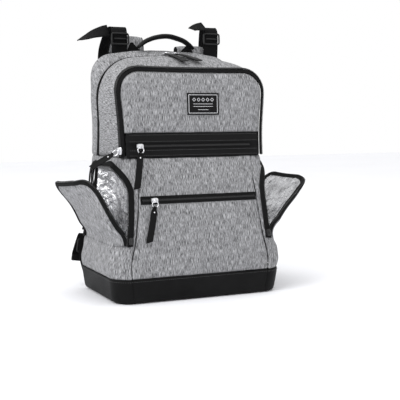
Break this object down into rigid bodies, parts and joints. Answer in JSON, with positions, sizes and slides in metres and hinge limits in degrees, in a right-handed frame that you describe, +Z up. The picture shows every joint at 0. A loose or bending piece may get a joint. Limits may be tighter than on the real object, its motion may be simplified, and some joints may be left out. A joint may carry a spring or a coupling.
{
  "type": "diaper bag",
  "caption": "Backpack diaper bag with a lid, a front flap, two zip-open bottle pockets, a carry handle and shoulder straps.",
  "frame": {"origin": "centre of the flat base on the floor, between the side faces", "axes": "+Z up; the front with its flap and band faces -Y; +X is to the viewer's right when facing the front"},
  "size_m": [0.4547, 0.242, 0.5018],
  "materials": {
    "heather_fabric": "woven grey melange",
    "leatherette": "fine grain, satin",
    "zip_tape": "woven tape with coil",
    "band_fabric": "smooth coated",
    "webbing": "ribbed webbing",
    "lining": "plain weave",
    "back_mesh": "spacer mesh",
    "foil_lining": "crinkled foil film",
    "metal": "polished nickel",
    "buckle_plastic": "moulded",
    "board": "stiff sheet",
    "label": "smooth patch with pale border"
  },
  "bodies": {
    "body": {"base_boot": "leatherette", "base_board": "board", "front_lower_panel": "heather_fabric", "lower_zip_tape": "zip_tape", "compartment_divider_lower": "lining", "side_panel_left": "heather_fabric", "side_panel_right": "heather_fabric", "pocket_tape_left": "zip_tape", "pocket_tape_right": "zip_tape", "pocket_pouch_left": "foil_lining", "pocket_pouch_right": "foil_lining", "back_panel": "back_mesh", "back_padding": "back_mesh", "rear_gusset": "heather_fabric", "main_zip_rear_tape": "zip_tape", "handle_anchor_left": "webbing", "handle_anchor_right": "webbing", "shoulder_strap_left": "heather_fabric", "shoulder_strap_right": "heather_fabric", "lower_webbing_left": "webbing", "lower_webbing_right": "webbing", "ladder_lock_left": "buckle_plastic", "ladder_lock_right": "buckle_plastic", "stroller_loop_left": "webbing", "stroller_loop_right": "webbing", "loop_buckle_left": "buckle_plastic", "loop_buckle_right": "buckle_plastic", "loop_tail_left": "webbing", "loop_tail_right": "webbing"},
    "main_lid": {"front_gusset": "heather_fabric", "main_zip_front_tape": "zip_tape", "u_zip_outer_tape": "zip_tape", "compartment_divider_upper": "lining"},
    "front_flap": {"flap_panel": "heather_fabric", "flap_band": "band_fabric", "band_zip_tape": "zip_tape", "u_zip_inner_tape": "zip_tape", "label_patch": "label"},
    "wing_left": {"wing_left": "heather_fabric", "wing_foil_left": "foil_lining", "wing_tape_left": "zip_tape"},
    "wing_right": {"wing_right": "heather_fabric", "wing_foil_right": "foil_lining", "wing_tape_right": "zip_tape"},
    "band_slider": {"band_zip_slider": "metal"},
    "band_ring": {"band_zip_ring": "metal"},
    "band_pull": {"band_zip_tab": "leatherette"},
    "lower_slider": {"lower_zip_slider": "metal"},
    "lower_pull": {"lower_zip_ring": "metal", "lower_zip_tab": "leatherette"},
    "u_slider": {"u_zip_slider": "metal"},
    "u_pull": {"u_zip_ring": "metal", "u_zip_tab": "leatherette"},
    "main_slider_left": {"main_zip_left_slider": "metal"},
    "main_pull_left": {"main_zip_left_tab": "leatherette"},
    "main_slider_right": {"main_zip_right_slider": "metal"},
    "main_pull_right": {"main_zip_right_tab": "leatherette"},
    "pocket_slider_left": {"pocket_zip_left_slider": "metal"},
    "pocket_slider_right": {"pocket_zip_right_slider": "metal"},
    "handle": {"handle_grip": "leatherette"}
  },
  "joints": [
    {"name": "lid_fold", "type": "hinge", "parent": "body", "child": "main_lid", "pos_m": [0, -0.0815, 0.25], "axis": [1, 0, 0], "range_deg": [0, 35]},
    {"name": "flap_fold", "type": "hinge", "parent": "main_lid", "child": "front_flap", "pos_m": [0, -0.0815, 0.25], "axis": [1, 0, 0], "range_deg": [0, 85]},
    {"name": "band_zip_slide", "type": "slide", "parent": "front_flap", "child": "band_slider", "axis": [1, 0, 0], "range_m": [0, 0.205]},
    {"name": "band_ring_swing", "type": "hinge", "parent": "band_slider", "child": "band_ring", "pos_m": [-0.106, -0.08845, 0.269], "axis": [-1, 0, 0], "range_deg": [0, 90]},
    {"name": "band_pull_swing", "type": "hinge", "parent": "band_ring", "child": "band_pull", "pos_m": [-0.10819, -0.0902, 0.25836], "axis": [-1, 0, 0], "range_deg": [0, 40]},
    {"name": "lower_zip_slide", "type": "slide", "parent": "body", "child": "lower_slider", "axis": [1, 0, 0], "range_m": [0, 0.145]},
    {"name": "lower_pull_swing", "type": "hinge", "parent": "lower_slider", "child": "lower_pull", "pos_m": [-0.087, -0.10717, 0.1765], "axis": [-1, 0, 0], "range_deg": [0, 88]},
    {"name": "u_zip_slide", "type": "slide", "parent": "main_lid", "child": "u_slider", "axis": [0, 0, 1], "range_m": [0, 0.09]},
    {"name": "u_pull_swing", "type": "hinge", "parent": "u_slider", "child": "u_pull", "pos_m": [-0.146, -0.0797, 0.262], "axis": [0.6606, -0.7507, 0], "range_deg": [0, 40]},
    {"name": "main_zip_slide_left", "type": "slide", "parent": "main_lid", "child": "main_slider_left", "axis": [-0.9996, 0, -0.03], "range_m": [0, 0.05]},
    {"name": "main_pull_swing_left", "type": "hinge", "parent": "main_slider_left", "child": "main_pull_left", "pos_m": [-0.0085, 0.036, 0.4382], "axis": [-1, 0, 0], "range_deg": [0, 110]},
    {"name": "wing_close_left", "type": "hinge", "parent": "body", "child": "wing_left", "pos_m": [-0.15952, 0, 0.1], "axis": [0, 1, 0], "range_deg": [0, 29]},
    {"name": "pocket_zip_slide_left", "type": "slide", "parent": "body", "child": "pocket_slider_left", "axis": [0.0691, 0.147, 0.9867], "range_m": [0, 0.075]},
    {"name": "main_zip_slide_right", "type": "slide", "parent": "main_lid", "child": "main_slider_right", "axis": [0.9996, 0, -0.03], "range_m": [0, 0.05]},
    {"name": "main_pull_swing_right", "type": "hinge", "parent": "main_slider_right", "child": "main_pull_right", "pos_m": [0.0085, 0.036, 0.4382], "axis": [-1, 0, 0], "range_deg": [0, 110]},
    {"name": "wing_close_right", "type": "hinge", "parent": "body", "child": "wing_right", "pos_m": [0.15952, 0, 0.1], "axis": [0, -1, 0], "range_deg": [0, 39]},
    {"name": "pocket_zip_slide_right", "type": "slide", "parent": "body", "child": "pocket_slider_right", "axis": [-0.0691, 0.147, 0.9867], "range_m": [0, 0.075]},
    {"name": "handle_tilt", "type": "hinge", "parent": "body", "child": "handle", "pos_m": [0.003, 0.058, 0.4465], "axis": [1, 0, 0], "range_deg": [-25, 25], "stiffness_Nm_per_rad": 0.02}
  ],
  "couplings": [
    {"joint": "band_ring_swing", "follows": "flap_fold", "ratio": 1.05},
    {"joint": "band_pull_swing", "follows": "lid_fold", "ratio": 1.1},
    {"joint": "pocket_zip_slide_left", "follows": "wing_close_left", "m_per_rad": 0.1462},
    {"joint": "pocket_zip_slide_right", "follows": "wing_close_right", "m_per_rad": 0.1087}
  ]
}
